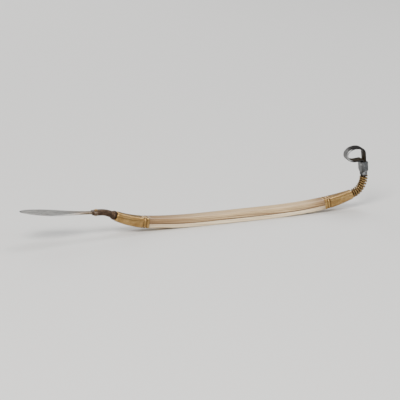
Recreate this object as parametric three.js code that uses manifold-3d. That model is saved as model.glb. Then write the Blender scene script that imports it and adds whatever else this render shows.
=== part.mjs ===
// Double-ended sculpting spatula: a laminated wooden grip with a cranked steel spatula blade at one end
// and a hooked ribbon loop at the other.
//
// Frame: millimetres, +X towards the loop, +Z up, and the origin at the centre of the grip's flat
// underside, which the tool lies on. Every long piece is first shaped on a straight bar, at a distance s
// along the tool, y across it and h above its centreline. bend() then carries it onto the bowed centreline.

import * as THREE from "three";
import { mergeVertices } from "three/addons/utils/BufferGeometryUtils.js";
import Module from "manifold-3d";

const wasm = await Module();
wasm.setup();

// ---------------------------------------------------------------- driving dimensions

const grip = {
  length: 92, // the wooden part that shows between the ferrules
  flatLength: 30, // the straight middle, flat underneath
  bow: 6.5, // degrees that each half of the grip rises by
  width: 7,
  height: 5,
  topRadius: 1.6,
  baseRadius: 0.9,
  swellWidth: 0.4, // how much wider and taller its flat middle is than its ends
  swellHeight: 0.2,
  lowerLayer: 2.2, // the pale strip, then the dark veneer, then the tan strip up to the top
  veneerLayer: 0.4,
};

const ferrule = {
  wall: 0.5,
  gap: 0.12, // glue line between the brass and the wooden tenon
  endWall: 1.6,
  tenon: 8, // how far the wood reaches inside
  groove: 0.25, // depth of the two turned grooves at the wooden side
  pinAt: 5.5, // distance of the cross pin from the wooden side
  pinRadius: 0.6,
};

const bladeEnd = { ferrule: 17, mouthWidth: 5.6, mouthHeight: 4.7, neckHole: 1.9 };
const loopEnd = { ferrule: 16, mouthWidth: 5.4, mouthHeight: 4.5, neckHole: 1.4 };

const tang = { width: 3, height: 1.7, inset: 7.5, gap: 0.15 }; // inset is its reach into the grip
const blade = {
  root: 3.2,
  widest: 10.6,
  widestAt: 0.6, // share of the free length
  rootThickness: 1.1,
  tipThickness: 0.55,
  tuck: 4.5, // how much of the root is inside the neck
};
const rivet = { at: 2.4, radius: 0.5, headRadius: 0.95, reach: 1.42, crown: 0.35 };
const shank = { nearRadius: 1.25, farRadius: 1 };
const whipping = { wire: 1, turns: 9, clearance: 0.1 };
const collar = { length: 7.2, width: 6.2, thickness: 3.5, mouthThickness: 3.6, shankDepth: 2.4 };
const ribbon = {
  width: 4.8,
  thickness: 1.1,
  halfLength: 4.8, // of its middle line, along the tool and then upwards
  halfHeight: 3.3,
  legGap: 0.1,
  cornerRadius: 0.9,
  lift: 0.2, // of the loop's corner over the collar's mouth
};

const halfGrip = grip.length / 2;
const halfFlat = grip.flatLength / 2;

// The centreline of each end, walked outwards from the middle of the grip. An arc has a radius and a turn
// in degrees, and a straight run or a slight curve has its length.
const bladeRun = [
  { length: halfFlat },
  { length: halfGrip - halfFlat, turn: grip.bow },
  { radius: 50, turn: 19 },
  { length: 3.5 },
  { radius: 12, turn: -22 },
  { length: 40, turn: 6 },
];
const loopRun = [
  { length: halfFlat },
  { length: halfGrip - halfFlat, turn: grip.bow },
  { radius: 87, turn: 10.5 },
  { radius: 9, turn: 36 },
  { radius: 9, turn: 42 },
  { length: 7.4 },
];

const runLength = (piece) => piece.length ?? piece.radius * Math.abs(THREE.MathUtils.degToRad(piece.turn));
const totalLength = (run) => run.reduce((sum, piece) => sum + runLength(piece), 0);
const bladeTip = totalLength(bladeRun);
const bladeRoot = bladeTip - bladeRun.at(-1).length;
const loopTip = totalLength(loopRun);

// ---------------------------------------------------------------- centreline

// How far along and how high the centreline is after a distance, and its slope there.
function walk(run, distance) {
  let [along, rise, slope, left] = [0, 0, 0, distance];
  for (const piece of run) {
    const step = Math.min(runLength(piece), left);
    const curvature = THREE.MathUtils.degToRad(piece.turn ?? 0) / runLength(piece);
    if (curvature === 0) {
      along += step * Math.cos(slope);
      rise += step * Math.sin(slope);
    } else {
      const next = slope + curvature * step;
      along += (Math.sin(next) - Math.sin(slope)) / curvature;
      rise += (Math.cos(slope) - Math.cos(next)) / curvature;
      slope = next;
    }
    left -= step;
  }
  return { along: along + left * Math.cos(slope), rise: rise + left * Math.sin(slope), slope };
}

// The place of a point of the straight bar on the bowed tool. The blade is on the side of negative s.
function bend(s, y, h) {
  const side = s < 0 ? -1 : 1;
  const { along, rise, slope } = walk(side < 0 ? bladeRun : loopRun, Math.abs(s));
  return new THREE.Vector3(
    side * (along - h * Math.sin(slope)),
    y,
    grip.height / 2 + rise + h * Math.cos(slope),
  );
}

// ---------------------------------------------------------------- solids

// A closed three.js geometry as a manifold-3d solid, and back.
function solid(geometry) {
  const bare = geometry.index ? geometry.toNonIndexed() : geometry.clone();
  bare.deleteAttribute("normal");
  bare.deleteAttribute("uv");
  const merged = mergeVertices(bare, 1e-4);
  return new wasm.Manifold(
    new wasm.Mesh({
      numProp: 3,
      vertProperties: merged.attributes.position.array,
      triVerts: new Uint32Array(merged.index.array),
    }),
  );
}

function geometryOf(body) {
  const { vertProperties, triVerts } = body.getMesh();
  const geometry = new THREE.BufferGeometry();
  geometry.setAttribute("position", new THREE.BufferAttribute(vertProperties, 3));
  geometry.setIndex(new THREE.BufferAttribute(triVerts, 1));
  geometry.computeVertexNormals();
  return geometry;
}

// Moves each vertex of a geometry to place(x, y, z).
function remap(geometry, place) {
  const position = geometry.getAttribute("position");
  for (let i = 0; i < position.count; i++) {
    const to = place(position.getX(i), position.getY(i), position.getZ(i));
    position.setXYZ(i, to.x, to.y, to.z);
  }
  return geometry;
}

// Rows between the stations, close enough together to follow the bow.
function rowsBetween(stations, step) {
  const rows = [];
  for (let k = 0; k + 1 < stations.length; k++) {
    const [from, to] = [stations[k], stations[k + 1]];
    const count = Math.max(1, Math.ceil(Math.abs(to[0] - from[0]) / step));
    for (let i = 0; i < count; i++) {
      rows.push(from.map((value, n) => THREE.MathUtils.lerp(value, to[n], i / count)));
    }
  }
  rows.push(stations.at(-1));
  return rows;
}

// A section swept along the bar through stations [s, width, height, lift], in order of rising s, where the
// section is a shape of width 1 and height 1 and lift raises it off the centreline.
function sweep(section, stations, { step = 4, segments = 3 } = {}) {
  const rows = rowsBetween(
    stations.map(([s, width, height, lift = 0]) => [s, width, height, lift]),
    step,
  );
  const count = rows.length - 1;
  const bar = new THREE.ExtrudeGeometry(section, {
    depth: count,
    steps: count,
    bevelEnabled: false,
    curveSegments: segments,
  });
  return solid(
    remap(bar, (x, y, z) => {
      const [s, width, height, lift] = rows[Math.round(z)];
      return bend(s, x * width, y * height + lift);
    }),
  );
}

// Stations of one end, given outwards from the grip, put in order of rising s.
const towards = (side, stations) => {
  const placed = stations.map(([distance, ...rest]) => [side * distance, ...rest]);
  return side < 0 ? placed.reverse() : placed;
};

// ---------------------------------------------------------------- sections, all 1 wide and 1 high

function roundedSection(topRadius, baseRadius, width = 1, height = 1) {
  const [halfWidth, halfHeight] = [width / 2, height / 2];
  const corner = (shape, x, y, radius, start) =>
    shape.absarc(x, y, radius, start, start + Math.PI / 2, false);
  const shape = new THREE.Shape();
  corner(shape, halfWidth - baseRadius, baseRadius - halfHeight, baseRadius, -Math.PI / 2);
  corner(shape, halfWidth - topRadius, halfHeight - topRadius, topRadius, 0);
  corner(shape, topRadius - halfWidth, halfHeight - topRadius, topRadius, Math.PI / 2);
  corner(shape, baseRadius - halfWidth, baseRadius - halfHeight, baseRadius, Math.PI);
  return shape;
}

// The same outline drawn at the grip's own size, then scaled to 1 by 1, so that its corners stay round.
function gripSection() {
  const drawn = roundedSection(grip.topRadius, grip.baseRadius, grip.width, grip.height);
  return new THREE.Shape(
    drawn.getPoints(2).map((p) => new THREE.Vector2(p.x / grip.width, p.y / grip.height)),
  );
}

const roundSection = new THREE.Shape().absarc(0, 0, 0.5, 0, 2 * Math.PI, false);
const squareSection = roundedSection(0.02, 0.02);
const softSection = roundedSection(0.3, 0.3);
const bladeSection = new THREE.Shape([
  new THREE.Vector2(-0.36, -0.5),
  new THREE.Vector2(0.36, -0.5),
  new THREE.Vector2(0.5, -0.16),
  new THREE.Vector2(0.5, 0.16),
  new THREE.Vector2(0.36, 0.5),
  new THREE.Vector2(-0.36, 0.5),
  new THREE.Vector2(-0.5, 0.16),
  new THREE.Vector2(-0.5, -0.16),
]);

// ---------------------------------------------------------------- the laminated grip

// One station of the grip, whose swell is even over the flat middle and eases away towards the ferrules.
function gripStation(s) {
  const beyond = Math.max(0, Math.abs(s) - halfFlat) / (halfGrip - halfFlat);
  const swell = Math.cos((Math.PI / 2) * beyond) ** 2;
  return [
    s,
    grip.width + grip.swellWidth * swell,
    grip.height + grip.swellHeight * swell,
    (grip.swellHeight * swell) / 2,
  ];
}

function gripBody() {
  const steps = 6;
  const outwards = Array.from({ length: steps + 1 }, (_, i) =>
    THREE.MathUtils.lerp(halfFlat, halfGrip, i / steps),
  );
  const stations = [...outwards.map((s) => -s).reverse(), ...outwards].map(gripStation);
  const shrink = 2 * (ferrule.wall + ferrule.gap);
  const reach = halfGrip + ferrule.tenon;
  const [tenonWidth, tenonHeight] = [grip.width - shrink, grip.height - shrink];
  const tenon = sweep(gripSection(), [
    [-reach, tenonWidth - 0.3, tenonHeight - 0.2],
    [-halfGrip, tenonWidth, tenonHeight],
    [halfGrip, tenonWidth, tenonHeight],
    [reach, tenonWidth - 0.3, tenonHeight - 0.2],
  ]);
  return sweep(gripSection(), stations, { step: grip.flatLength }).add(tenon);
}

// The part of the grip between two heights above its underside.
function layer(body, low, high) {
  const reach = halfGrip + ferrule.tenon + 1;
  const [thickness, middle] = [high - low, (low + high) / 2 - grip.height / 2];
  const slab = sweep(squareSection, [
    [-reach, 2 * grip.width, thickness, middle],
    [-halfGrip, 2 * grip.width, thickness, middle],
    [halfGrip, 2 * grip.width, thickness, middle],
    [reach, 2 * grip.width, thickness, middle],
  ]);
  return body.intersect(slab);
}

const veneerBase = grip.lowerLayer;
const veneerTop = grip.lowerLayer + grip.veneerLayer;

// The mortise for a tang, milled in the lower strip, the veneer and the upper strip alike.
function tangMortise(side) {
  const [width, height] = [tang.width + 2 * tang.gap, tang.height + 2 * tang.gap];
  return sweep(
    squareSection,
    towards(side, [
      [halfGrip - tang.inset - tang.gap, width, height],
      [halfGrip + ferrule.tenon + 1, width, height],
    ]),
  );
}

// A pin straight through one end, or the hole for it when extra is above 0.
function crossPin(side, extra = 0) {
  const proud = extra > 0 ? 1 : 0.1;
  const pin = new THREE.CylinderGeometry(
    ferrule.pinRadius + extra,
    ferrule.pinRadius + extra,
    grip.height + 2 * proud,
    10,
  );
  pin.rotateX(Math.PI / 2);
  return solid(remap(pin, (x, y, z) => bend(side * (halfGrip + ferrule.pinAt) + x, y, z)));
}

const pinHole = (side) => crossPin(side, 0.12);

function gripLayers() {
  let body = gripBody();
  for (const side of [-1, 1]) {
    body = body.subtract(pinHole(side)).subtract(tangMortise(side));
  }
  return {
    lower_wood_strip: layer(body, -grip.height, veneerBase),
    dark_veneer: layer(body, veneerBase, veneerTop),
    upper_wood_strip: layer(body, veneerTop, 2 * grip.height),
  };
}

// ---------------------------------------------------------------- ferrules and metal ends

// A flush brass socket: two turned grooves by the wood, a taper, and an end wall with a hole for the neck.
function ferruleBody(side, end) {
  const at = (offset) => halfGrip + offset;
  const width = (share) => THREE.MathUtils.lerp(grip.width, end.mouthWidth, share);
  const height = (share) => THREE.MathUtils.lerp(grip.height, end.mouthHeight, share);
  const outerStation = (offset, cut = 0) => {
    const share = (offset / end.ferrule) ** 2;
    return [at(offset), width(share) - 2 * cut, height(share) - 2 * cut];
  };
  const grooved = [1.2, 2.6].flatMap((edge) => [
    outerStation(edge),
    outerStation(edge + 0.15, ferrule.groove),
    outerStation(edge + 0.45, ferrule.groove),
    outerStation(edge + 0.6),
  ]);
  const outer = sweep(
    gripSection(),
    towards(side, [
      outerStation(0),
      ...grooved,
      outerStation(0.4 * end.ferrule),
      outerStation(0.7 * end.ferrule),
      outerStation(end.ferrule - 0.7),
      outerStation(end.ferrule, 0.45),
    ]),
  );
  const innerStation = (offset) => outerStation(offset, ferrule.wall);
  const cavity = sweep(
    gripSection(),
    towards(side, [
      [at(-1), ...innerStation(0).slice(1)],
      innerStation(0),
      innerStation(0.5 * end.ferrule),
      innerStation(end.ferrule - ferrule.endWall),
    ]),
  );
  const neckHole = sweep(
    roundSection,
    towards(side, [
      [at(end.ferrule - ferrule.endWall - 1), 2 * end.neckHole, 2 * end.neckHole],
      [at(end.ferrule + 1), 2 * end.neckHole, 2 * end.neckHole],
    ]),
    { segments: 6 },
  );
  return outer.subtract(cavity).subtract(neckHole).subtract(pinHole(side));
}

// The flat tang of one end, with a chamfered tip and the hole for its pin.
function tangBody(side, end) {
  const tip = halfGrip - tang.inset;
  return sweep(
    softSection,
    towards(side, [
      [tip, tang.width - 0.8, tang.height - 0.5],
      [tip + 1.2, tang.width, tang.height],
      [halfGrip + end.ferrule - ferrule.endWall - 0.2, tang.width, tang.height],
    ]),
  ).subtract(pinHole(side));
}

// The forged neck of the spatula: a bolster against the ferrule, a waist, and a flattened slotted end.
function bladeNeck() {
  const mouth = halfGrip + bladeEnd.ferrule;
  const hole = 2 * (bladeEnd.neckHole - 0.12);
  const slotStart = bladeRoot;
  const neck = sweep(
    roundSection,
    towards(-1, [
      [mouth - ferrule.endWall - 0.6, hole, hole],
      [mouth + 0.12, hole, hole],
      [mouth + 0.15, 4.9, 4.3],
      [mouth + 1.3, 5, 4.4],
      [mouth + 1.6, 4.3, 3.9],
      [bladeRoot - 5, 3.5, 3.2],
      [bladeRoot - 1, 3.6, 3],
      [bladeRoot + 2, 4.3, 2.7],
      [bladeRoot + blade.tuck, 4.5, 1.9],
    ]),
    { step: 3, segments: 6 },
  );
  const slot = sweep(
    squareSection,
    towards(-1, [
      [slotStart - 0.1, blade.root + 0.24, blade.rootThickness + 0.24],
      [bladeRoot + blade.tuck + 1, blade.root + 0.24, blade.rootThickness + 0.24],
    ]),
  );
  return neck.add(tangBody(-1, bladeEnd)).subtract(slot).subtract(bladeRivet(0.12));
}

// The rivet through the slotted neck and the blade, or the hole for it when extra is above 0.
function bladeRivet(extra = 0) {
  const [radius, head] = [rivet.radius + extra, extra > 0 ? rivet.radius + extra : rivet.headRadius];
  const reach = rivet.reach + (extra > 0 ? 1 : 0);
  const profile = [
    [0, -reach - rivet.crown],
    [0.6 * head, -reach - 0.7 * rivet.crown],
    [head, -reach],
    [radius, -reach],
    [radius, reach],
    [head, reach],
    [0.6 * head, reach + 0.7 * rivet.crown],
    [0, reach + rivet.crown],
  ].map(([r, h]) => new THREE.Vector2(r, h));
  const turned = new THREE.LatheGeometry(profile, 10);
  const at = bladeRoot + rivet.at;
  return solid(remap(turned, (x, y, z) => bend(x - at, -z, y)));
}

// The leaf: it widens smoothly to its widest place, then ends in a half ellipse, and thins all the way.
function bladeLeaf() {
  const free = bladeRoot + blade.tuck;
  const count = 14;
  const leafWidth = (t) => {
    if (t < blade.widestAt) {
      return blade.root + (blade.widest - blade.root) * THREE.MathUtils.smoothstep(t, 0, blade.widestAt);
    }
    const beyond = (t - blade.widestAt) / (1 - blade.widestAt);
    return Math.max(0.5, blade.widest * Math.sqrt(1 - beyond ** 2));
  };
  const stations = Array.from({ length: count + 1 }, (_, i) => {
    const t = Math.sin((Math.PI / 2) * (i / count)); // closer together towards the round tip
    const thickness = THREE.MathUtils.lerp(blade.rootThickness, blade.tipThickness, t);
    return [THREE.MathUtils.lerp(free, bladeTip, t), leafWidth(t), thickness];
  });
  const root = [bladeRoot, blade.root, blade.rootThickness];
  return sweep(bladeSection, towards(-1, [root, ...stations]), { step: 3 }).subtract(bladeRivet(0.12));
}

// The radius of the loop's shank at a distance along the tool.
const shankStart = halfGrip + loopEnd.ferrule;
const collarStart = loopTip - collar.length;
const shankRadius = (s) =>
  THREE.MathUtils.mapLinear(s, shankStart, collarStart, shank.nearRadius, shank.farRadius);

function loopShank() {
  const from = shankStart - ferrule.endWall - 0.6;
  const to = collarStart + collar.shankDepth - 0.3;
  const rod = sweep(
    roundSection,
    [from, to].map((s) => [s, 2 * shankRadius(s), 2 * shankRadius(s)]),
    { segments: 6, step: 1.25 },
  );
  return rod.add(tangBody(1, loopEnd));
}

// Brass wire wound close round the shank, as a sleeve with one round rib for each turn.
function wireWhipping() {
  const [from, to] = [shankStart + 0.2, collarStart - 0.15];
  const pitch = (to - from) / whipping.turns;
  const bore = (s) => shankRadius(s) + whipping.clearance;
  const profile = [];
  for (let turn = 0; turn < whipping.turns; turn++) {
    for (const [along, height] of [[0, 0.5], [0.3, 1], [0.7, 1]]) {
      const s = from + (turn + along) * pitch;
      profile.push(new THREE.Vector2(bore(s) + height * whipping.wire, s));
    }
  }
  profile.push(new THREE.Vector2(bore(to) + 0.45 * whipping.wire, to));
  const steps = 12;
  for (let i = 0; i <= steps; i++) {
    const s = THREE.MathUtils.lerp(to, from, i / steps);
    profile.push(new THREE.Vector2(bore(s), s));
  }
  profile.push(profile[0].clone());
  const sleeve = new THREE.LatheGeometry(profile, 12);
  return solid(remap(sleeve, (x, y, z) => bend(y, z, x)));
}

// The crimped collar: round over the shank, flat over the two legs of the ribbon.
function loopCollar() {
  const outer = sweep(
    softSection,
    [
      [collarStart, 3.7, 3.5],
      [collarStart + 0.4, 4.1, collar.thickness + 0.4],
      [collarStart + 1.5, 4.3, collar.thickness + 0.3],
      [collarStart + collar.shankDepth + 0.5, collar.width, collar.mouthThickness],
      [loopTip - 0.4, collar.width, collar.mouthThickness],
      [loopTip, collar.width - 0.5, collar.mouthThickness - 0.4],
    ],
    { step: 2.5, segments: 3 },
  );
  const bore = 2 * shankRadius(collarStart) + 0.24;
  const shankHole = sweep(
    roundSection,
    [
      [collarStart - 1, bore, bore],
      [collarStart + collar.shankDepth, bore, bore],
    ],
    { segments: 6, step: 2.5 },
  );
  const legs = 2 * ribbon.thickness + ribbon.legGap + 0.24;
  const slot = sweep(squareSection, [
    [collarStart + collar.shankDepth + 0.6, ribbon.width + 0.24, legs],
    [loopTip + 1, ribbon.width + 0.24, legs],
  ]);
  return outer.subtract(shankHole).subtract(slot);
}

// The ribbon, drawn with its legs down and its loop to the left, then set in the collar's mouth.
function loopRibbon() {
  const legX = (ribbon.thickness + ribbon.legGap) / 2;
  const legFoot = -(collar.length - collar.shankDepth - 0.9);
  const base = ribbon.cornerRadius + ribbon.lift;
  const centre = new THREE.Vector2(legX - ribbon.halfLength, base + ribbon.halfHeight);
  const line = new THREE.Path();
  line.moveTo(legX, legFoot);
  line.lineTo(legX, centre.y);
  line.absellipse(centre.x, centre.y, ribbon.halfLength, ribbon.halfHeight, 0, 1.5 * Math.PI, false);
  const cornerX = -legX - ribbon.cornerRadius;
  line.lineTo(cornerX, base);
  line.absarc(cornerX, base - ribbon.cornerRadius, ribbon.cornerRadius, Math.PI / 2, 0, true);
  line.lineTo(-legX, legFoot);
  const points = line.getPoints(12).filter((p, i, all) => i === 0 || p.distanceTo(all[i - 1]) > 0.02);
  const side = (sign) =>
    points.map((p, i) => {
      const before = points[Math.max(0, i - 1)];
      const after = points[Math.min(points.length - 1, i + 1)];
      const across = after.clone().sub(before).normalize();
      return new THREE.Vector2(
        p.x + (sign * across.y * ribbon.thickness) / 2,
        p.y - (sign * across.x * ribbon.thickness) / 2,
      );
    });
  const band = new THREE.ExtrudeGeometry(new THREE.Shape([...side(1), ...side(-1).reverse()]), {
    depth: ribbon.width,
    bevelEnabled: false,
  });
  band.translate(0, 0, -ribbon.width / 2);
  band.rotateX(Math.PI / 2);
  return solid(band);
}

// ---------------------------------------------------------------- materials and assembly

const materials = {
  tanWood: new THREE.MeshStandardMaterial({ color: 0xc8a878, roughness: 0.38, metalness: 0 }),
  paleWood: new THREE.MeshStandardMaterial({ color: 0xe6d6bc, roughness: 0.38, metalness: 0 }),
  darkVeneer: new THREE.MeshStandardMaterial({ color: 0x5c4026, roughness: 0.5, metalness: 0 }),
  brass: new THREE.MeshStandardMaterial({ color: 0xb08a4a, roughness: 0.3, metalness: 1 }),
  steel: new THREE.MeshStandardMaterial({ color: 0xb9b9b6, roughness: 0.32, metalness: 1 }),
  darkSteel: new THREE.MeshStandardMaterial({ color: 0x3a2f2a, roughness: 0.45, metalness: 1 }),
  blackSteel: new THREE.MeshStandardMaterial({ color: 0x151515, roughness: 0.5, metalness: 1 }),
};

const tool = new THREE.Group();

function place(name, body, material, parent = tool) {
  const mesh = new THREE.Mesh(geometryOf(body), material);
  mesh.name = name;
  parent.add(mesh);
}

const layers = gripLayers();
place("lower_wood_strip", layers.lower_wood_strip, materials.paleWood);
place("dark_veneer", layers.dark_veneer, materials.darkVeneer);
place("upper_wood_strip", layers.upper_wood_strip, materials.tanWood);

place("blade_ferrule", ferruleBody(-1, bladeEnd), materials.brass);
place("blade_ferrule_pin", crossPin(-1), materials.brass);
place("blade_neck", bladeNeck(), materials.darkSteel);
place("spatula_blade", bladeLeaf(), materials.steel);
place("blade_rivet", bladeRivet(), materials.brass);

place("loop_ferrule", ferruleBody(1, loopEnd), materials.brass);
place("loop_ferrule_pin", crossPin(1), materials.brass);
place("loop_shank", loopShank(), materials.steel);
place("wire_whipping", wireWhipping(), materials.brass);
place("loop_collar", loopCollar(), materials.steel);

const mouth = new THREE.Group();
const { along, rise, slope } = walk(loopRun, loopTip);
mouth.position.set(along, 0, grip.height / 2 + rise);
mouth.rotation.y = Math.PI / 2 - slope;
tool.add(mouth);
place("loop_ribbon", loopRibbon(), materials.blackSteel, mouth);

export default tool;
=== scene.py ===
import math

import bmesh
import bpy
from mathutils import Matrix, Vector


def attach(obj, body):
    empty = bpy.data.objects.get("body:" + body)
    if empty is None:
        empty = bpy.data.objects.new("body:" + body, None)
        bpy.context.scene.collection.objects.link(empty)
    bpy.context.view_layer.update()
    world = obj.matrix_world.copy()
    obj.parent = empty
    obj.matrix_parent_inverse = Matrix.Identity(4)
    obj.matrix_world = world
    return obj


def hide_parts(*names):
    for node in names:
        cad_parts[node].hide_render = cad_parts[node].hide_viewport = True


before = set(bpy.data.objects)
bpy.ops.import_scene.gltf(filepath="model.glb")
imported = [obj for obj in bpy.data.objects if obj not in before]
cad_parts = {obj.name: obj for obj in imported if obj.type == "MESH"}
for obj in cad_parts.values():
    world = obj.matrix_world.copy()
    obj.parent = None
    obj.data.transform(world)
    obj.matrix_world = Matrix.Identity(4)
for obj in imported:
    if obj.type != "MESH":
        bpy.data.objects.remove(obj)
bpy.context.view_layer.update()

# Double-ended sculpting spatula: the finished surfaces of the laminated grip, the brass ferrules, the
# cranked blade and the ribbon loop. Lengths are in millimetres until a mesh is made, and the origin is at
# the centre of the grip's flat underside. As in the CAD, a piece is shaped on a straight bar, at (s, y, h),
# and bend() carries it onto the bowed centreline; only the ribbon is placed directly. Every mesh keeps its
# straight coordinates as the attribute "bar", so that grain, brush marks and wear follow the tool's bends.
# On the wire and the ribbon, "bar" runs along the wire or the ribbon instead.

MM = 0.001

# ---------------------------------------------------------------- dimensions, as in the CAD

GRIP = dict(half=46, half_flat=15, bow=6.5, width=7, height=5, top_radius=1.6, base_radius=0.9,
            swell_width=0.4, swell_height=0.2, veneer_base=2.2, veneer_top=2.6)
FERRULE = dict(wall=0.5, gap=0.12, end_wall=1.6, tenon=8, pin_at=5.5, pin_radius=0.6,
               mouth_round=0.6, mouth_top_radius=2.2, mouth_base_radius=2.1)
# Where the two grooves turned in each ferrule are, out from the wood.
FERRULE_GROOVES = (1.5, 2.9)
BLADE_END = dict(side=-1, length=17, mouth_width=5.6, mouth_height=4.7, hole=1.9)
LOOP_END = dict(side=1, length=16, mouth_width=5.4, mouth_height=4.5, hole=1.4)
# A tang is flat until flat_end before the ferrule's mouth, and round from round_start before it.
TANG = dict(width=3, height=1.7, inset=7.5, tip_width=2.2, tip_height=1.2, tip_length=1.2,
            flat_end=2.5, round_start=2.2)
# edge is the blade's thickness at its margin, and ground the share of its half width that is hollowed.
BLADE = dict(root=3.2, widest=10.6, widest_at=0.6, root_thickness=1.1, tip_thickness=0.55, tuck=4.5,
             edge=0.14, ground=0.34)
RIVET = dict(at=2.4, radius=0.5, head=0.95, reach=1.36, crown=0.36)
# centre is how far the wire's own middle stands out from the shank.
WIRE = dict(radius=0.5, turns=9.1, start=200, centre=0.6)
COLLAR = dict(length=7.2, shank_depth=2.4)
# crown is how far along the ribbon its far bend is.
RIBBON = dict(width=4.8, thickness=1.1, half_length=4.8, half_height=3.3, leg_gap=0.1, corner=0.9,
              lift=0.2, crown=21)
SHANK_RADII = (1.25, 1.0)


def arc(radius, turn):
    return (radius * abs(math.radians(turn)), turn)


# Each end's centreline outwards from the middle of the grip, as lengths and the degrees each one turns by.
GRIP_RUN = [(GRIP["half_flat"], 0), (GRIP["half"] - GRIP["half_flat"], GRIP["bow"])]
BLADE_RUN = GRIP_RUN + [arc(50, 19), (3.5, 0), arc(12, -22), (40, 6)]
LOOP_RUN = GRIP_RUN + [arc(87, 10.5), arc(9, 36), arc(9, 42), (7.4, 0)]
BLADE_TIP = sum(length for length, _ in BLADE_RUN)
BLADE_ROOT = BLADE_TIP - BLADE_RUN[-1][0]
LOOP_TIP = sum(length for length, _ in LOOP_RUN)
SHANK_START = GRIP["half"] + LOOP_END["length"]
COLLAR_START = LOOP_TIP - COLLAR["length"]


def walk(run, distance):
    """How far along and how high the centreline is after a distance, and its slope there."""
    along = rise = slope = 0.0
    left = distance
    for length, turn in run:
        step = min(length, left)
        curvature = math.radians(turn) / length
        if curvature == 0:
            along += step * math.cos(slope)
            rise += step * math.sin(slope)
        else:
            after = slope + curvature * step
            along += (math.sin(after) - math.sin(slope)) / curvature
            rise += (math.cos(slope) - math.cos(after)) / curvature
            slope = after
        left -= step
    return along + left * math.cos(slope), rise + left * math.sin(slope), slope


def bend(s, y, h):
    """The place on the bowed tool of a point of the straight bar. The blade's side has a negative s."""
    side = -1 if s < 0 else 1
    along, rise, slope = walk(BLADE_RUN if side < 0 else LOOP_RUN, abs(s))
    x = side * (along - h * math.sin(slope))
    return Vector((x, y, GRIP["height"] / 2 + rise + h * math.cos(slope)))


def straight(s, y, h):
    """For the ribbon, whose points are in their final places from the start."""
    return Vector((s, y, h))


# ---------------------------------------------------------------- meshes

def lerp(a, b, t):
    return a + (b - a) * t


def smooth(t):
    t = min(1.0, max(0.0, t))
    return t * t * (3 - 2 * t)


def spread(low, high, step):
    """Even values from low to high, both included, at most a step apart."""
    count = max(1, math.ceil(abs(high - low) / step))
    return [lerp(low, high, i / count) for i in range(count + 1)]


def table(rows, distance):
    """Reads rows of (distance, value, ...) at a distance, easing from each row to the next."""
    if distance <= rows[0][0]:
        return rows[0][1:]
    for before, after in zip(rows, rows[1:]):
        if distance <= after[0]:
            t = smooth((distance - before[0]) / (after[0] - before[0]))
            return tuple(lerp(a, b, t) for a, b in zip(before[1:], after[1:]))
    return rows[-1][1:]


def finish_mesh(name, verts, bars, faces, material, sharp=38):
    """Makes the object, with its faces outwards and its edges sharper than an angle kept sharp."""
    mesh = bpy.data.meshes.new(name)
    mesh.from_pydata([v * MM for v in verts], [], faces)
    bar = mesh.attributes.new("bar", "FLOAT_VECTOR", "POINT")
    for item, value in zip(bar.data, bars):
        item.vector = value
    edit = bmesh.new()
    edit.from_mesh(mesh)
    bmesh.ops.recalc_face_normals(edit, faces=edit.faces)
    for face in edit.faces:
        face.smooth = True
    for edge in edit.edges:
        edge.smooth = edge.calc_face_angle(0) < math.radians(sharp)
    edit.to_mesh(mesh)
    edit.free()
    piece = bpy.data.objects.new(name, mesh)
    bpy.context.scene.collection.objects.link(piece)
    mesh.materials.append(material)
    return piece


def loft(name, rings, material, ring_loop=False, place=bend, bars=None, sharp=38):
    """Skins rings of equal length. ring_loop joins the last ring to the first, for a sleeve."""
    count = len(rings[0])
    points = [point for ring in rings for point in ring]
    faces = []
    for i in range(len(rings) if ring_loop else len(rings) - 1):
        start, after = i * count, ((i + 1) % len(rings)) * count
        for j in range(count):
            k = (j + 1) % count
            faces.append((start + j, start + k, after + k, after + j))
    if not ring_loop:
        faces.append(tuple(range(count)))
        faces.append(tuple(range((len(rings) - 1) * count, len(rings) * count)))
    return finish_mesh(name, [place(*p) for p in points], bars or points, faces, material, sharp)


def rounded(width, height, top_radius, base_radius, steps=8):
    """Points (y, h) round a rectangle with round corners, each a quarter turn in equal steps."""
    points = []
    corners = [(1, -1, base_radius), (1, 1, top_radius), (-1, 1, top_radius), (-1, -1, base_radius)]
    for number, (across, up, radius) in enumerate(corners):
        for i in range(steps + 1):
            angle = math.radians(90) * (number - 1 + i / steps)
            points.append((across * (width / 2 - radius) + radius * math.cos(angle),
                           up * (height / 2 - radius) + radius * math.sin(angle)))
    return points


def circle(radius, steps=8):
    return rounded(2 * radius, 2 * radius, radius, radius, steps)


def ring_at(s, outline):
    return [(s, y, h) for y, h in outline]


def cut(piece, cutter):
    """Cuts the cutter out of a piece, then removes it."""
    modifier = piece.modifiers.new("cut", "BOOLEAN")
    modifier.operation = "DIFFERENCE"
    modifier.solver = "EXACT"
    modifier.object = cutter
    graph = bpy.context.evaluated_depsgraph_get()
    result = bpy.data.meshes.new_from_object(piece.evaluated_get(graph), depsgraph=graph)
    piece.modifiers.clear()
    piece.data = result
    bpy.data.objects.remove(cutter)


def finished(piece, node):
    """The piece stands for its CAD node, and moves with the tool."""
    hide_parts(node)
    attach(piece, "root")
    return piece


# ---------------------------------------------------------------- materials

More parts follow.
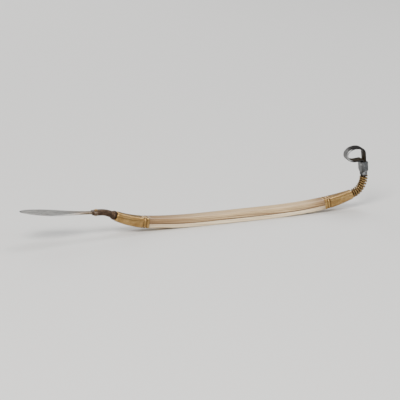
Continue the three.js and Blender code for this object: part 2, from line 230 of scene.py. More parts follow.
class Shader:
    """A material's node tree, with short calls for the nodes that every surface here needs."""

    def __init__(self, name):
        self.material = bpy.data.materials.new(name)
        self.material.use_nodes = True
        self.tree = self.material.node_tree
        self.surface = self.tree.nodes["Principled BSDF"]
        self.bar = self.add("ShaderNodeAttribute", attribute_name="bar").outputs["Vector"]

    def add(self, kind, inputs=None, **settings):
        node = self.tree.nodes.new(kind)
        for key, value in settings.items():
            setattr(node, key, value)
        for key, value in (inputs or {}).items():
            self.put(node.inputs[key], value)
        return node

    def put(self, socket, value):
        if isinstance(value, bpy.types.NodeSocket):
            self.tree.links.new(value, socket)
        else:
            socket.default_value = value

    def math(self, operation, a, b=0.0):
        return self.add("ShaderNodeMath", {0: a, 1: b}, operation=operation).outputs[0]

    def shifted(self, x, y, z):
        """The bar coordinates moved along, so that each seed reads its own part of a noise."""
        return self.add("ShaderNodeMapping", {"Vector": self.bar, "Location": (x, y, z)}).outputs[0]

    def stretched(self, vector, x, y, z):
        return self.add("ShaderNodeMapping", {"Vector": vector, "Scale": (x, y, z)}).outputs[0]

    def scaled(self, x, y, z, turn=0.0):
        """The bar coordinates, turned about h by some degrees and scaled along s, y and h."""
        turned = self.add("ShaderNodeMapping",
                          {"Vector": self.bar, "Rotation": (0, 0, math.radians(turn))})
        return self.stretched(turned.outputs[0], x, y, z)

    def noise(self, vector, scale=1.0, detail=4.0, rough=0.55, distortion=0.0):
        inputs = {"Vector": vector, "Scale": scale, "Detail": detail, "Roughness": rough,
                  "Distortion": distortion}
        return self.add("ShaderNodeTexNoise", inputs).outputs["Fac"]

    def band(self, value, low, high, to_low=0.0, to_high=1.0):
        """A value's range from low to high, mapped smoothly to another range and held outside it."""
        inputs = {"Value": value, "From Min": low, "From Max": high, "To Min": to_low, "To Max": to_high}
        return self.add("ShaderNodeMapRange", inputs, interpolation_type="SMOOTHSTEP").outputs[0]

    def ramp(self, value, *stops):
        """A colour ramp through stops of (position, colour)."""
        node = self.add("ShaderNodeValToRGB", {"Fac": value})
        first, last = node.color_ramp.elements
        for element, (position, colour) in zip((first, last), (stops[0], stops[-1])):
            element.position = position
            element.color = colour
        for position, colour in stops[1:-1]:
            node.color_ramp.elements.new(position).color = colour
        return node.outputs[0]

    def mix(self, factor, a, b):
        node = self.add("ShaderNodeMix", data_type="RGBA")
        for socket, value in zip((node.inputs[0], node.inputs[6], node.inputs[7]), (factor, a, b)):
            self.put(socket, value)
        return node.outputs[2]

    def axis(self, name):
        split = self.add("ShaderNodeSeparateXYZ", {"Vector": self.bar})
        return split.outputs[name]

    def bumps(self, *layers):
        """Bump layers of (height, strength, depth in millimetres), each on top of the one before."""
        normal = None
        for height, strength, depth in layers:
            inputs = {"Height": height, "Strength": strength, "Distance": depth * MM}
            if normal:
                inputs["Normal"] = normal
            normal = self.add("ShaderNodeBump", inputs).outputs[0]
        self.put(self.surface.inputs["Normal"], normal)

    def scratches(self, density=0.5):
        """Fine scratches in three directions, 1 on a scratch."""
        total = None
        for turn, length in ((8, 0.35), (-31, 0.5), (74, 0.6)):
            lines = self.noise(self.scaled(length, 16, 16, turn), 1.0, 2.0)
            patch = self.noise(self.scaled(0.25, 0.25, 0.25, turn), 1.0, 1.0)
            thin = self.band(lines, 0.69 - 0.05 * density, 0.74)
            fine = self.math("MULTIPLY", thin, self.band(patch, 0.45, 0.6))
            total = fine if total is None else self.math("MAXIMUM", total, fine)
        return total


def rgb(*values):
    return tuple(values) + (1.0,)


def wood(name, light, middle, dark, seed, pore=0.6, toasted=0.95):
    """Varnished straight-grained wood, with streaks, rings, pores, toasted ends, grime and small dents."""
    sh = Shader(name)
    shift = sh.shifted(seed, 2.3 * seed, -seed)
    along = sh.stretched(shift, 0.028, 0.8, 0.9)
    streaks = sh.noise(along, 1.6, 6.0, 0.62, 0.4)
    fine = sh.noise(sh.stretched(shift, 0.09, 5.5, 5.5), 1.0, 3.0)
    wave = {"Vector": along, "Scale": 0.75, "Distortion": 5.0, "Detail": 3.0, "Detail Scale": 1.2}
    rings = sh.add("ShaderNodeTexWave", wave, bands_direction="DIAGONAL").outputs["Fac"]
    tone = sh.math("ADD", sh.math("MULTIPLY", streaks, 0.6), sh.math("MULTIPLY", rings, 0.25))
    tone = sh.math("ADD", tone, sh.math("MULTIPLY", fine, 0.25))
    grain = sh.ramp(tone, (0.36, dark), (0.56, middle), (0.78, light))
    pores = sh.band(sh.noise(sh.stretched(shift, 0.55, 9, 9), 1.0, 2.0), 0.63, 0.7)
    colour = sh.mix(sh.math("MULTIPLY", pores, pore), grain, dark)
    # Both ends are toasted golden brown, further in at the blade's.
    ends = sh.math("MAXIMUM", sh.band(sh.axis("X"), -6, -44), sh.band(sh.axis("X"), 33, 47))
    toast = sh.math("MULTIPLY", ends, sh.band(streaks, 0.3, 0.6, 0.6, 1.0))
    golden = sh.mix(sh.band(tone, 0.4, 0.72), rgb(0.12, 0.053, 0.013), rgb(0.29, 0.15, 0.045))
    colour = sh.mix(sh.math("MULTIPLY", toast, toasted), colour, golden)
    # The top is lightened between the ends as a painted highlight, and the glue has darkened the wood just
    # above the veneer.
    painted_top_highlight = sh.math("MULTIPLY", sh.band(sh.axis("Z"), 1.3, 2.3), sh.band(ends, 0, 1, 0.3, 0.1))
    colour = sh.mix(sh.math("MULTIPLY", painted_top_highlight, sh.band(streaks, 0.25, 0.6, 0.5, 1.0)), colour, light)
    above = GRIP["veneer_top"] - GRIP["height"] / 2
    glue = sh.band(sh.math("ABSOLUTE", sh.math("SUBTRACT", sh.axis("Z"), above)), 0.1, 0.38, 0.6, 0.0)
    colour = sh.mix(glue, colour, rgb(0.20, 0.115, 0.05))
    # Hands darken the wood by the ferrules.
    patches = sh.noise(sh.scaled(0.09, 0.35, 0.35), 1.0, 4.0)
    reach = sh.math("ABSOLUTE", sh.axis("X"))
    by_ferrules = sh.band(reach, GRIP["half"] - 4, GRIP["half"] + 0.1)
    grime = sh.math("MULTIPLY", by_ferrules, sh.band(patches, 0.3, 0.65))
    colour = sh.mix(sh.math("MULTIPLY", grime, 0.4), colour, rgb(0.13, 0.075, 0.035))
    colour = sh.mix(sh.band(patches, 0.58, 0.78, 0.0, 0.22), colour, dark)
    scratches = sh.scratches(0.3)
    sh.put(sh.surface.inputs["Base Color"], sh.mix(sh.math("MULTIPLY", scratches, 0.3), colour, light))
    sh.put(sh.surface.inputs["Roughness"], sh.band(patches, 0.3, 0.7, 0.33, 0.5))
    sh.put(sh.surface.inputs["Coat Weight"], 0.25)
    sh.put(sh.surface.inputs["Coat Roughness"], 0.22)
    dents = sh.noise(sh.scaled(0.35, 0.5, 0.5), 1.0, 2.0)
    sh.bumps((dents, 0.25, 0.12), (fine, 0.35, 0.03), (pores, -0.5, 0.03), (scratches, -0.4, 0.02))
    return sh.material


def brass(name, seed, wound=False):
    """Old brass, brown where hands don't reach and bright where they do, with scratches and dull marks."""
    sh = Shader(name)
    base = sh.shifted(seed, seed, seed)
    cloud = sh.noise(base, 0.33, 6.0, 0.62, 0.3)
    speck = sh.noise(base, 2.6, 5.0, 0.7)
    bright, warm, brown = rgb(0.46, 0.295, 0.115), rgb(0.31, 0.185, 0.066), rgb(0.12, 0.065, 0.025)
    drawn = sh.noise(sh.scaled(0.07, 1.5, 1.5), 1.0, 4.0, 0.6)
    colour = sh.mix(sh.band(cloud, 0.34, 0.66), bright, warm)
    colour = sh.mix(sh.band(drawn, 0.48, 0.68, 0.0, 0.6), colour, rgb(0.24, 0.125, 0.045))
    colour = sh.mix(sh.math("MULTIPLY", sh.band(speck, 0.54, 0.72), 0.55), colour, brown)
    scratches = sh.scratches(0.9)
    colour = sh.mix(sh.math("MULTIPLY", scratches, 0.65), colour, rgb(0.80, 0.62, 0.33))
    sh.put(sh.surface.inputs["Metallic"], 1.0)
    rough = sh.math("ADD", sh.band(cloud, 0.3, 0.7, 0.27, 0.42), sh.band(speck, 0.5, 0.75, 0.0, 0.2))
    sh.put(sh.surface.inputs["Roughness"], rough)
    polish = sh.noise(sh.scaled(0.25, 9, 9), 1.0, 2.0)
    if wound:
        # Darker all over, and darkest in the valleys between the turns, which are the places near the
        # shank.
        depth = sh.axis("Z")
        colour = sh.mix(0.45, colour, rgb(0.10, 0.075, 0.045))
        colour = sh.mix(sh.band(depth, -0.1, 0.4, 0.95, 0.0), colour, rgb(0.05, 0.03, 0.015))
    else:
        away = sh.math("SUBTRACT", sh.math("ABSOLUTE", sh.axis("X")), GRIP["half"])
        for groove in FERRULE_GROOVES:
            distance = sh.math("ABSOLUTE", sh.math("SUBTRACT", away, groove))
            colour = sh.mix(sh.band(distance, 0.1, 0.35, 0.55, 0.0), colour, rgb(0.12, 0.07, 0.03))
    sh.put(sh.surface.inputs["Base Color"], colour)
    sh.bumps((polish, 0.25, 0.02), (drawn, 0.15, 0.15), (speck, 0.2, 0.02), (scratches, -0.5, 0.015))
    return sh.material


def blade_steel(name):
    """Ground spring steel: brush marks across the leaf, dried clay at its tip, a heat tint at its root."""
    sh = Shader(name)
    marks = sh.noise(sh.scaled(14, 0.45, 0.45, 4), 1.0, 3.0, 0.7)
    cloud = sh.noise(sh.bar, 0.28, 5.0, 0.6, 0.5)
    stain = sh.noise(sh.bar, 0.8, 6.0, 0.65, 0.8)
    colour = sh.mix(sh.band(marks, 0.3, 0.7), rgb(0.20, 0.20, 0.195), rgb(0.34, 0.34, 0.33))
    colour = sh.mix(sh.band(cloud, 0.35, 0.7, 0.0, 0.5), colour, rgb(0.15, 0.143, 0.13))
    away = sh.math("MULTIPLY", sh.axis("X"), -1.0)
    heat = sh.band(away, BLADE_ROOT + 6, BLADE_ROOT + 19, 0.8, 0.0)
    colour = sh.mix(heat, colour, rgb(0.22, 0.15, 0.085))
    clay_zone = sh.band(away, BLADE_TIP - 24, BLADE_TIP - 5)
    clay = sh.math("MULTIPLY", sh.band(stain, 0.54, 0.63), clay_zone)
    scratches = sh.scratches(1.0)
    colour = sh.mix(sh.math("MULTIPLY", scratches, 0.6), colour, rgb(0.74, 0.74, 0.72))
    colour = sh.mix(clay, colour, rgb(0.33, 0.305, 0.27))
    sh.put(sh.surface.inputs["Base Color"], colour)
    sh.put(sh.surface.inputs["Metallic"], sh.math("SUBTRACT", 1.0, sh.math("MULTIPLY", clay, 0.9)))
    rough = sh.math("ADD", sh.band(cloud, 0.3, 0.7, 0.24, 0.38), sh.band(marks, 0.3, 0.7, 0.0, 0.1))
    sh.put(sh.surface.inputs["Roughness"], sh.math("MAXIMUM", rough, sh.math("MULTIPLY", clay, 0.85)))
    sh.bumps((marks, 0.35, 0.02), (clay, 0.6, 0.05), (scratches, -0.5, 0.012))
    return sh.material


def worn_steel(name, body, edge, bare, seed, dull=0.5):
    """Forged or drawn steel with its dark skin rubbed through in patches."""
    sh = Shader(name)
    base = sh.shifted(seed, seed, seed)
    cloud = sh.noise(base, 0.5, 6.0, 0.62, 0.4)
    pits = sh.noise(base, 3.5, 4.0, 0.7)
    colour = sh.mix(sh.band(cloud, 0.38, 0.66), body, edge)
    rubbed = sh.band(sh.math("ADD", cloud, sh.math("MULTIPLY", pits, 0.35)), 0.76, 0.86)
    scratches = sh.scratches(0.9)
    shine = sh.math("MAXIMUM", sh.math("MULTIPLY", rubbed, 0.6), sh.math("MULTIPLY", scratches, 0.4))
    sh.put(sh.surface.inputs["Base Color"], sh.mix(shine, colour, bare))
    sh.put(sh.surface.inputs["Metallic"], 1.0)
    sh.put(sh.surface.inputs["Roughness"], sh.band(cloud, 0.3, 0.7, dull - 0.1, dull + 0.08))
    sh.bumps((cloud, 0.3, 0.1), (pits, 0.35, 0.03), (scratches, -0.5, 0.015))
    return sh.material


def ribbon_steel(name):
    """Blackened ribbon with both cutting edges ground bright and the black worn thin at the crown, which
    also paints a highlight there.
    """
    sh = Shader(name)
    marks = sh.noise(sh.scaled(1.2, 0.5, 9), 1.0, 3.0)
    cloud = sh.noise(sh.bar, 0.7, 6.0, 0.65, 0.4)
    across = sh.math("ABSOLUTE", sh.axis("Y"))
    ragged = sh.math("ADD", across, sh.math("MULTIPLY", sh.math("SUBTRACT", cloud, 0.5), 0.35))
    # Only the far bend is ground and used, so only its edges are bright; the bright edges there are also a
    # painted highlight.
    crown = sh.math("ABSOLUTE", sh.math("SUBTRACT", sh.axis("X"), RIBBON["crown"]))
    edge = RIBBON["width"] / 2
    used_and_highlight = sh.band(crown, 2.5, 5.0, 0.9, 0.04)
    ground = sh.math("MULTIPLY", sh.band(ragged, edge - 0.28, edge - 0.14), used_and_highlight)
    # The outer face is worn bright there too, in a ragged patch that is also a painted highlight.
    outer = sh.math("MULTIPLY", sh.band(sh.axis("Z"), -0.3, -0.5), sh.band(cloud, 0.3, 0.55, 0.25, 0.85))
    worn_patch_and_highlight = sh.math("MULTIPLY", outer, sh.band(crown, 1.2, 4.2, 0.5, 0.0))
    rubbed = sh.math("MULTIPLY", sh.band(cloud, 0.6, 0.75), 0.12)
    shine = sh.math("MAXIMUM", sh.math("MAXIMUM", ground, worn_patch_and_highlight), rubbed)
    colour = sh.mix(sh.band(cloud, 0.3, 0.7), rgb(0.003, 0.003, 0.0035), rgb(0.010, 0.0085, 0.007))
    # Clay has browned the hollow side, which the ribbon's inner face is.
    hollow = sh.math("MULTIPLY", sh.band(sh.axis("Z"), 0.2, 0.5), sh.band(cloud, 0.34, 0.6, 0.4, 1.0))
    colour = sh.mix(hollow, colour, rgb(0.032, 0.022, 0.011))
    bare = sh.mix(marks, rgb(0.34, 0.345, 0.35), rgb(0.52, 0.525, 0.53))
    sh.put(sh.surface.inputs["Base Color"], sh.mix(shine, colour, bare))
    sh.put(sh.surface.inputs["Metallic"], sh.band(shine, 0.1, 0.6, 0.0, 1.0))
    sh.put(sh.surface.inputs["Roughness"], sh.band(cloud, 0.3, 0.7, 0.42, 0.6))
    sh.put(sh.surface.inputs["Specular IOR Level"], 0.08)
    sh.bumps((cloud, 0.25, 0.05), (marks, 0.25, 0.015))
    return sh.material


TAN_WOOD = wood(
    "tan_wood", light=rgb(0.71, 0.52, 0.285), middle=rgb(0.52, 0.36, 0.18),
    dark=rgb(0.23, 0.13, 0.055), seed=3.0)
PALE_WOOD = wood(
    "pale_wood", light=rgb(0.98, 0.83, 0.58), middle=rgb(0.92, 0.76, 0.51),
    dark=rgb(0.50, 0.35, 0.20), seed=11.0, pore=0.3, toasted=0.35)
DARK_WOOD = wood(
    "dark_wood", light=rgb(0.17, 0.095, 0.05), middle=rgb(0.10, 0.052, 0.028),
    dark=rgb(0.04, 0.02, 0.012), seed=23.0)
FERRULE_BRASS = brass("ferrule_brass", seed=5.0)
WIRE_BRASS = brass("wire_brass", seed=17.0, wound=True)
BLADE_STEEL = blade_steel("blade_steel")
# The neck steel's dark body is partly painted shade: it darkens the blade's end of the tool and the shank
# where it shows by the winding.
NECK_STEEL_AND_PAINTED_SHADE = worn_steel(
    "neck_steel_and_painted_shade", body=rgb(0.05, 0.032, 0.022), edge=rgb(0.11, 0.07, 0.045),
    bare=rgb(0.42, 0.36, 0.30), seed=9.0)
COLLAR_STEEL = worn_steel(
    "collar_steel", body=rgb(0.075, 0.078, 0.082), edge=rgb(0.14, 0.145, 0.15),
    bare=rgb(0.50, 0.51, 0.52), seed=13.0, dull=0.4)
RIBBON_STEEL = ribbon_steel("ribbon_steel")

# ---------------------------------------------------------------- the laminated grip

def swell(s):
    """How swollen the grip is: 1 all along its flat middle, easing to 0 at its ends."""
    beyond = max(0.0, abs(s) - GRIP["half_flat"]) / (GRIP["half"] - GRIP["half_flat"])
    return math.cos(math.pi / 2 * beyond) ** 2


def layer_outline(width, base, top, low, high, bevel=0.05, steps=7):
    """Points (y, h) round the grip's section from low to high, both measured up from its underside.

    None stands for the section's own rounded underside or top.
    """
    half, top_radius, base_radius = width / 2, GRIP["top_radius"], GRIP["base_radius"]
    side = []
    if low is None:
        for i in range(steps + 1):
            angle = math.radians(90) * i / steps
            side.append((half - base_radius + base_radius * math.sin(angle),
                         base + base_radius * (1 - math.cos(angle))))
    else:
        side += [(half - bevel, low), (half, low + bevel)]
    if high is None:
        for i in range(steps + 1):
            angle = math.radians(90) * i / steps
            side.append((half - top_radius + top_radius * math.cos(angle),
                         top - top_radius * (1 - math.sin(angle))))
    else:
        side += [(half, high - bevel), (half - bevel, high)]
    outline = side + [(-y, h) for y, h in reversed(side)]
    return [(y, h - GRIP["height"] / 2) for y, h in outline]


def layer(name, low, high, material):
    """One layer with a plain tenon at each end, which the ferrules cover."""
    shrink = FERRULE["wall"] + FERRULE["gap"]
    # The grip stops just short of the ferrule, at a small chamfer, and the tenon narrows outwards.
    clearance, chamfer_length, chamfer_depth, narrowing = 0.03, 0.12, 0.08, 0.15
    end, reach = GRIP["half"] - clearance, GRIP["half"] + FERRULE["tenon"]

    def tenon(s):
        inset = shrink + narrowing * (abs(s) - GRIP["half"]) / FERRULE["tenon"]
        width, top = GRIP["width"] - 2 * inset, GRIP["height"] - inset
        return ring_at(s, layer_outline(width, inset, top, low, high))

    def grip_ring(s, inset=0.0):
        width = GRIP["width"] + GRIP["swell_width"] * swell(s) - 2 * inset
        top = GRIP["height"] + GRIP["swell_height"] * swell(s) - inset
        return ring_at(s, layer_outline(width, inset, top, low, high))

    rings = [tenon(s) for s in spread(-reach, -end, 2.0)]
    rings.append(grip_ring(-end, chamfer_depth))
    rings += [grip_ring(s) for s in spread(-end + chamfer_length, end - chamfer_length, 1.0)]
    rings.append(grip_ring(end, chamfer_depth))
    rings += [tenon(s) for s in spread(end, reach, 2.0)]
    return finished(loft(name + "_finish", rings, material), name)


layer("lower_wood_strip", None, GRIP["veneer_base"], PALE_WOOD)
layer("dark_veneer", GRIP["veneer_base"], GRIP["veneer_top"], DARK_WOOD)
layer("upper_wood_strip", GRIP["veneer_top"], None, TAN_WOOD)

# ---------------------------------------------------------------- ferrules and pins

# Depth of the ferrule's surface by distance from the wood: a rolled edge, two grooves and a bead between.
FERRULE_TURNING = [
    (0, 0.14), (0.25, 0.0), (1.15, 0.0), (FERRULE_GROOVES[0], 0.27), (1.85, 0.02),
    (2.2, -0.04), (2.55, 0.02), (FERRULE_GROOVES[1], 0.27), (3.25, 0.0),
]
# The dome at each end of a pin: how far out past half the grip's height it is, and its radius there.
PIN_DOME = [(0.09, 0.25), (0.06, 0.45), (-0.02, 0.58), (-0.12, FERRULE["pin_radius"])]


def ferrule(name, end):
    """A brass socket: turned near the wood, smooth to its rounded mouth, and hollow for the tenon."""
    side, length = end["side"], end["length"]
    turned = FERRULE_TURNING[-1][0]

    def outline(offset, inset):
        share = (offset / length) ** 2
        width = lerp(GRIP["width"], end["mouth_width"], share) - 2 * inset
        height = lerp(GRIP["height"], end["mouth_height"], share) - 2 * inset
        roundest = min(width, height) / 2 - 0.02
        towards_mouth = smooth(offset / length)
        top_radius = lerp(GRIP["top_radius"], FERRULE["mouth_top_radius"], towards_mouth)
        base_radius = lerp(GRIP["base_radius"], FERRULE["mouth_base_radius"], towards_mouth)
        return rounded(width, height, min(roundest, top_radius), min(roundest, base_radius))

    def ring(offset, inset):
        return ring_at(side * (GRIP["half"] + offset), outline(offset, inset))

    corner = FERRULE["mouth_round"]
    rings = [ring(offset, table(FERRULE_TURNING, offset)[0]) for offset in spread(0, turned, 0.11)]
    rings += [ring(offset, 0.0) for offset in spread(turned + 0.35, length - corner - 0.2, 0.6)]
    for i in range(1, 7):
        angle = math.radians(90) * i / 6
        rings.append(ring(length - corner + corner * math.sin(angle), corner * (1 - math.cos(angle))))
    hole = circle(end["hole"])
    rings.append(ring_at(side * (GRIP["half"] + length), hole))
    rings.append(ring_at(side * (GRIP["half"] + length - FERRULE["end_wall"]), hole))
    rings += [ring(offset, FERRULE["wall"]) for offset in spread(length - FERRULE["end_wall"], 0, 2.0)]
    return finished(loft(name + "_finish", rings, FERRULE_BRASS, ring_loop=True), name)


def pin(name, end):
    """A cross pin, filed to a low dome at both faces of the ferrule."""
    at = end["side"] * (GRIP["half"] + FERRULE["pin_at"])
    rows = [(-GRIP["height"] / 2 - out, radius) for out, radius in PIN_DOME]
    rows += [(-h, radius) for h, radius in reversed(rows)]
    rings = [[(at + x, y, h) for x, y in circle(radius, 6)] for h, radius in rows]
    return finished(loft(name + "_finish", rings, FERRULE_BRASS), name)


ferrule("blade_ferrule", BLADE_END)
ferrule("loop_ferrule", LOOP_END)
pin("blade_ferrule_pin", BLADE_END)
pin("loop_ferrule_pin", LOOP_END)

# ---------------------------------------------------------------- blade end

MOUTH = GRIP["half"] + BLADE_END["length"]
# Distance along the tool, width and height of the forged neck: bolster, waist, and flattened end.
NECK_ROWS = [
    (MOUTH - TANG["round_start"], 3.5, 3.5), (MOUTH + 0.1, 3.5, 3.5),
    (MOUTH + 0.15, 4.5, 4.0), (MOUTH + 0.4, 5.0, 4.4),
    (MOUTH + 1.15, 5.0, 4.4), (MOUTH + 1.7, 4.2, 3.8), (BLADE_ROOT - 5, 3.5, 3.2),
    (BLADE_ROOT - 1, 3.6, 3.0), (BLADE_ROOT + 2, 4.3, 2.7), (BLADE_ROOT + 4.1, 4.5, 2.0),
    (BLADE_ROOT + BLADE["tuck"], 4.2, 1.7),
]


def tang_rings(side, tip, mouth):
    """The flat tang inside the wood, from its narrowed tip to where the round part starts."""
    end = mouth - TANG["flat_end"]
    rows = [
        (tip, TANG["tip_width"], TANG["tip_height"]),
        (tip + TANG["tip_length"], TANG["width"], TANG["height"]),
        (end, TANG["width"], TANG["height"]),
    ]
    return [ring_at(side * d, rounded(*table(rows, d), 0.5, 0.5)) for d in spread(tip, end, 1.5)]


def blade_neck():
    """The forged neck with its tang, and the slot in its end that the blade is let into."""
    rings = tang_rings(-1, GRIP["half"] - TANG["inset"], MOUTH)
    for distance in spread(MOUTH - TANG["round_start"], BLADE_ROOT + BLADE["tuck"], 0.16):
        width, height = table(NECK_ROWS, distance)
        radius = height / 2 - 0.01
        rings.append(ring_at(-distance, rounded(width, height, radius, radius)))
    # The neck's dark steel is partly painted shade on this end of the tool.
    neck = loft("blade_neck_finish", rings, NECK_STEEL_AND_PAINTED_SHADE, sharp=50)
    play = 0.14
    slot = rounded(BLADE["root"] + play, BLADE["root_thickness"] + play, 0.1, 0.1, 2)
    reach = spread(-BLADE_ROOT - BLADE["tuck"] - 1, -BLADE_ROOT + 0.08, 1.0)
    cut(neck, loft("blade_slot", [ring_at(s, slot) for s in reach], NECK_STEEL_AND_PAINTED_SHADE))
    return finished(neck, "blade_neck")


def leaf_outline(width, thickness, steps=9):
    """A flat leaf with hollow-ground margins: full thickness in the middle, thin at the rounded edges."""
    edge = min(BLADE["edge"], thickness / 2)
    top = []
    for i in range(2 * steps + 1):
        across = i / steps - 1
        depth = lerp(edge, thickness, smooth((1 - abs(across)) / BLADE["ground"]))
        top.append((across * width / 2, depth / 2))
    right, left = [(width / 2 + edge / 3, 0.0)], [(-width / 2 - edge / 3, 0.0)]
    return right + top[::-1] + left + [(y, -h) for y, h in top]


def leaf_width(t):
    """The leaf's width at a share of its length: eased up to its widest, then an ellipse to the tip."""
    if t < BLADE["widest_at"]:
        return lerp(BLADE["root"], BLADE["widest"], smooth(t / BLADE["widest_at"]))
    beyond = (t - BLADE["widest_at"]) / (1 - BLADE["widest_at"])
    return max(0.3, BLADE["widest"] * math.sqrt(1 - beyond ** 2))


def spatula_blade():
    """The leaf, in even rings inside the neck's slot and in closer and closer ones towards its tip."""
    free = BLADE_ROOT + BLADE["tuck"]
    rounding = 0.1  # about what the leaf's two rounded edges add to its width
    root = leaf_outline(BLADE["root"] - rounding, BLADE["root_thickness"])
    rings = [ring_at(-d, root) for d in spread(BLADE_ROOT, free, 0.8)]
    steps = 90
    for i in range(1, steps + 1):
        t = math.sin(math.pi / 2 * i / steps)
        thickness = lerp(BLADE["root_thickness"], BLADE["tip_thickness"], t)
        outline = leaf_outline(leaf_width(t) - rounding, thickness)
        rings.append(ring_at(-lerp(free, BLADE_TIP, t), outline))
    leaf = loft("spatula_blade_finish", rings, BLADE_STEEL, sharp=60)
    return finished(leaf, "spatula_blade")


def blade_rivet():
    """Domed at both ends, through the neck and the root of the blade."""
    at = BLADE_ROOT + RIVET["at"]
    dome = []
    for i in range(6):
        angle = math.radians(86) * (1 - i / 5)
        h = RIVET["reach"] + RIVET["crown"] * math.sin(angle)
        dome.append((h, RIVET["head"] * math.cos(angle)))
    under_head = RIVET["reach"] - 0.02
    rows = [(-h, radius) for h, radius in dome]
    rows += [(-under_head, RIVET["radius"]), (under_head, RIVET["radius"])]
    rows += dome[::-1]
    rings = [[(-at + x, y, h) for x, y in circle(radius, 6)] for h, radius in rows]
    return finished(loft("blade_rivet_finish", rings, FERRULE_BRASS), "blade_rivet")


blade_neck()
spatula_blade()
blade_rivet()

# ---------------------------------------------------------------- loop end

def shank_radius(s):
    return lerp(*SHANK_RADII, (s - SHANK_START) / (COLLAR_START - SHANK_START))


def loop_shank():
    """The flat tang and the round rod that follows the bend up into the collar."""
    rings = tang_rings(1, GRIP["half"] - TANG["inset"], SHANK_START)
    end = COLLAR_START + COLLAR["shank_depth"] - 0.3
    for s in spread(SHANK_START - TANG["round_start"], end, 0.5):
        rings.append(ring_at(s, circle(shank_radius(s))))
    # The rod's dark steel is partly painted shade, where it shows between the ferrule and the winding.
    return finished(loft("loop_shank_finish", rings, NECK_STEEL_AND_PAINTED_SHADE), "loop_shank")


def wire_whipping():
    """One brass wire wound in a close helix, with both of its ends rounded off against the winding."""
    from_end_to_wire = 0.02 + WIRE["radius"]
    low, high = SHANK_START + from_end_to_wire, COLLAR_START - from_end_to_wire
    per_turn, round_wire, rounded_rings = 30, 10, 3
    last = round(WIRE["turns"] * per_turn)
    rings, bars = [], []
    for i in range(last + 1):
        s, angle = lerp(low, high, i / last), math.radians(WIRE["start"] + 360 * i / per_turn)
        centre = shank_radius(s) + WIRE["centre"]
        from_end = min(rounded_rings, i, last - i)
        taper = math.sqrt(max(0.02, 1 - (1 - from_end / rounded_rings) ** 2))
        ring = []
        for j in range(round_wire):
            turn = 2 * math.pi * j / round_wire
            out = centre + WIRE["radius"] * taper * math.cos(turn)
            beside = s + WIRE["radius"] * taper * math.sin(turn)
            ring.append((beside, out * math.sin(angle), out * math.cos(angle)))
            # Along the wire, round the rod, and out from the rod.
            bars.append((s + 0.4 * i, angle, WIRE["radius"] * math.cos(turn)))
        rings.append(ring)
    wire = loft("wire_whipping_finish", rings, WIRE_BRASS, bars=bars, sharp=80)
    return finished(wire, "wire_whipping")


# Distance from the collar's lower end, width, height and corner radius: round, crimped, then flattened.
COLLAR_ROWS = [
    (0.0, 3.5, 3.3, 1.5), (0.3, 4.0, 3.75, 1.8), (0.5, 4.1, 3.8, 1.85), (0.75, 3.8, 3.45, 1.65),
    (1.0, 4.1, 3.8, 1.85), (1.25, 3.85, 3.5, 1.7), (1.5, 4.25, 3.75, 1.7), (2.9, 6.1, 3.6, 1.1),
    (6.85, 6.15, 3.6, 0.95), (7.2, 5.8, 3.3, 0.8),
]


def loop_collar():
    """The crimped collar, with a round hole for the shank and a slot for the ribbon's two legs."""
    rings = []
    for offset in spread(0, COLLAR["length"], 0.1):
        width, height, radius = table(COLLAR_ROWS, offset)
        rings.append(ring_at(COLLAR_START + offset, rounded(width, height, radius, radius)))
    collar = loft("loop_collar_finish", rings, COLLAR_STEEL, sharp=50)
    hole_play, slot_play = 0.08, 0.12
    shank_hole = circle(shank_radius(COLLAR_START) + hole_play)
    reach = spread(COLLAR_START - 1, COLLAR_START + COLLAR["shank_depth"], 0.5)
    cut(collar, loft("shank_hole", [ring_at(s, shank_hole) for s in reach], COLLAR_STEEL))
    legs = 2 * RIBBON["thickness"] + RIBBON["leg_gap"]
    slot = rounded(RIBBON["width"] + slot_play, legs + slot_play, 0.1, 0.1, 2)
    reach = spread(COLLAR_START + COLLAR["shank_depth"] + 0.6, LOOP_TIP + 1, 0.5)
    cut(collar, loft("leg_slot", [ring_at(s, slot) for s in reach], COLLAR_STEEL))
    return finished(collar, "loop_collar")


def ribbon_path():
    """The ribbon's middle line in the collar's mouth, legs down and loop towards the grip, as (x, z)."""
    leg = (RIBBON["thickness"] + RIBBON["leg_gap"]) / 2
    below_foot = 0.9  # the room left between the legs and the end of the shank's hole
    foot = -(COLLAR["length"] - COLLAR["shank_depth"] - below_foot)
    corner, base = RIBBON["corner"], RIBBON["corner"] + RIBBON["lift"]
    centre = (leg - RIBBON["half_length"], base + RIBBON["half_height"])
    path = [(leg, z) for z in spread(foot, centre[1], 0.4)]
    around, corner_steps = 108, 10
    for i in range(1, around + 1):
        angle = math.radians(270) * i / around
        path.append((centre[0] + RIBBON["half_length"] * math.cos(angle),
                     centre[1] + RIBBON["half_height"] * math.sin(angle)))
    path += [(x, base) for x in spread(centre[0], -leg - corner, 0.4)[1:]]
    for i in range(1, corner_steps + 1):
        angle = math.radians(90) * (1 - i / corner_steps)
        x = -leg - corner + corner * math.cos(angle)
        path.append((x, base - corner + corner * math.sin(angle)))
    return path + [(-leg, z) for z in spread(base - corner, foot, 0.4)[1:]]


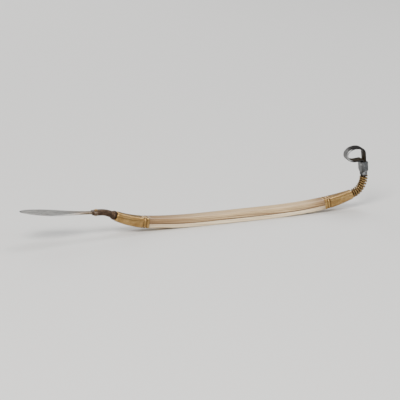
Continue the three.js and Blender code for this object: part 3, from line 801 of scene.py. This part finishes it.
def loop_ribbon():
    """The ribbon's section carried along its path, which leans with the collar."""
    along, rise, slope = walk(LOOP_RUN, LOOP_TIP)
    lean = math.pi / 2 - slope
    half_width, half_thick = RIBBON["width"] / 2, RIBBON["thickness"] / 2
    # The band's section: flat faces, and both edges ground down to a narrow land.
    quarter = [(half_width, 0.12), (half_width - 0.07, 0.24), (half_width - 0.4, half_thick - 0.05),
               (half_width - 0.5, half_thick)]
    upper = quarter + [(-y, out) for y, out in reversed(quarter)]
    section = upper + [(y, -out) for y, out in reversed(upper)]
    path = ribbon_path()
    rings, bars, length = [], [], 0.0
    for i, (x, z) in enumerate(path):
        before, after = path[max(0, i - 1)], path[min(len(path) - 1, i + 1)]
        step = Vector((after[0] - before[0], after[1] - before[1])).normalized()
        length += math.dist((x, z), path[max(0, i - 1)])
        ring = []
        for y, out in section:
            local_x, local_z = x - out * step.y, z + out * step.x
            leant_x = along + local_x * math.cos(lean) + local_z * math.sin(lean)
            leant_z = rise - local_x * math.sin(lean) + local_z * math.cos(lean)
            ring.append((leant_x, y, GRIP["height"] / 2 + leant_z))
            bars.append((length, y, out))
        rings.append(ring)
    ribbon = loft("loop_ribbon_finish", rings, RIBBON_STEEL, place=straight, bars=bars, sharp=30)
    return finished(ribbon, "loop_ribbon")


loop_shank()
wire_whipping()
loop_collar()
loop_ribbon()

# ---------------------------------------------------------------- floor, lights and camera

def floor():
    bpy.ops.mesh.primitive_plane_add(size=6)
    plane = bpy.context.object
    plane.name = "floor"
    material = bpy.data.materials.new("floor")
    material.use_nodes = True
    surface = material.node_tree.nodes["Principled BSDF"]
    surface.inputs["Base Color"].default_value = rgb(0.72, 0.72, 0.71)
    surface.inputs["Roughness"].default_value = 0.7
    plane.data.materials.append(material)


def area_light(name, place, size, power, colour=(1, 1, 1)):
    """A square light aimed at the middle of the view. Its size is in metres and its power in watts."""
    light = bpy.data.lights.new(name, "AREA")
    light.size = size
    light.energy = power
    light.color = colour
    lamp = bpy.data.objects.new(name, light)
    lamp.location = place
    lamp.rotation_euler = (TARGET - Vector(place)).to_track_quat("-Z", "Y").to_euler()
    bpy.context.scene.collection.objects.link(lamp)


def camera(azimuth, elevation, distance, lens):
    """Azimuth 0 looks along +Y, and a negative one stands on the blade's side."""
    turn, tilt = math.radians(azimuth), math.radians(elevation)
    away = Vector((math.sin(turn) * math.cos(tilt), -math.cos(turn) * math.cos(tilt), math.sin(tilt)))
    data = bpy.data.cameras.new("camera")
    data.lens = lens
    data.clip_start = 0.01
    holder = bpy.data.objects.new("camera", data)
    holder.location = TARGET + distance * away
    holder.rotation_euler = (-away).to_track_quat("-Z", "Y").to_euler()
    bpy.context.scene.collection.objects.link(holder)
    bpy.context.scene.camera = holder


def studio_world():
    """A pale dome that darkens towards the horizon, which gives the metal something to reflect."""
    world = bpy.data.worlds.new("studio")
    world.use_nodes = True
    tree = world.node_tree
    direction = tree.nodes.new("ShaderNodeTexCoord")
    height = tree.nodes.new("ShaderNodeSeparateXYZ")
    blend = tree.nodes.new("ShaderNodeMapRange")
    blend.inputs["From Min"].default_value = 0.02
    blend.inputs["From Max"].default_value = 0.75
    tint = tree.nodes.new("ShaderNodeMix")
    tint.data_type = "RGBA"
    tint.inputs[6].default_value = rgb(0.24, 0.245, 0.255)
    tint.inputs[7].default_value = rgb(1.0, 1.0, 1.0)
    background = tree.nodes["Background"]
    background.inputs["Strength"].default_value = 0.6
    tree.links.new(direction.outputs["Generated"], height.inputs[0])
    tree.links.new(height.outputs["Z"], blend.inputs["Value"])
    tree.links.new(blend.outputs[0], tint.inputs[0])
    tree.links.new(tint.outputs[2], background.inputs["Color"])
    bpy.context.scene.world = world


# The middle of the view, in metres.
TARGET = Vector((-0.019, 0.0, 0.0125))
floor()
camera(azimuth=-19, elevation=17.5, distance=0.9, lens=166)
area_light("key", (-0.35, -0.45, 0.65), 0.4, 7.6, (1.0, 0.965, 0.92))
area_light("fill", (0.55, -0.5, 0.35), 0.6, 2.2, (0.93, 0.96, 1.0))
area_light("rim", (0.35, 0.35, 0.75), 0.4, 3.0)
area_light("back", (-0.05, 0.85, 0.45), 0.42, 2.6, (1.0, 0.98, 0.95))
studio_world()
